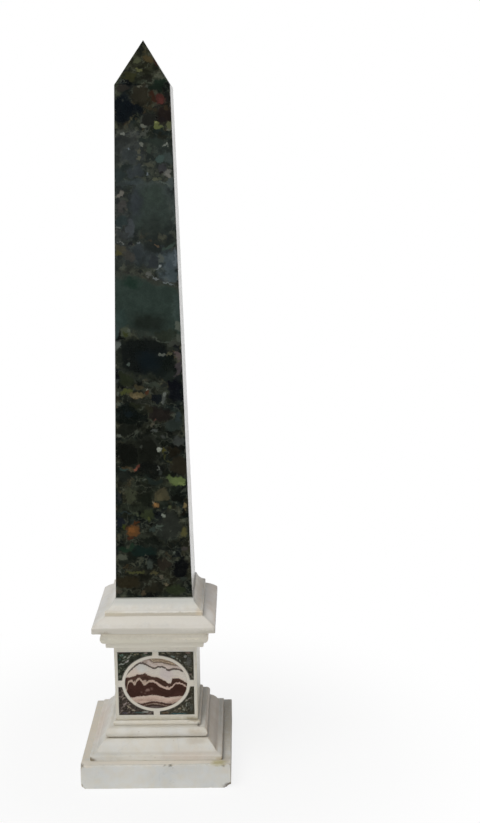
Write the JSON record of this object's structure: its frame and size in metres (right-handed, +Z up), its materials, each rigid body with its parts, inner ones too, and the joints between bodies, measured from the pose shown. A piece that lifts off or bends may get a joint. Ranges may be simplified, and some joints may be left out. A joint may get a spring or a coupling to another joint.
{
  "type": "tabletop obelisk ornament",
  "caption": "Tapered square shaft with a pointed top, faced in dark breccia, on a moulded white marble pedestal with an inlaid oval panel.",
  "frame": {"origin": "centre of the plinth's underside", "axes": "+Z up along the shaft, -Y towards the front with the inlaid panel, +X to the right of someone facing the front"},
  "size_m": [0.127, 0.127, 0.615],
  "materials": {
    "white_marble": "polished",
    "green_breccia": "polished",
    "banded_agate": "polished",
    "serpentine": "polished"
  },
  "bodies": {
    "root": {"plinth": "white_marble", "base_moulding": "white_marble", "torus_slab": "white_marble", "step_slab": "white_marble", "die_block": "white_marble", "oval_ring": "white_marble", "agate_oval": "banded_agate", "spandrel_upper_left": "serpentine", "spandrel_upper_right": "serpentine", "spandrel_lower_left": "serpentine", "spandrel_lower_right": "serpentine", "neck_slab": "white_marble", "bed_band": "white_marble", "corona_slab": "white_marble", "seat_slab": "white_marble", "shaft_core": "white_marble", "shaft_front_slab": "green_breccia", "pyramidion_core": "white_marble", "pyramidion_front_slab": "green_breccia"}
  },
  "joints": []
}
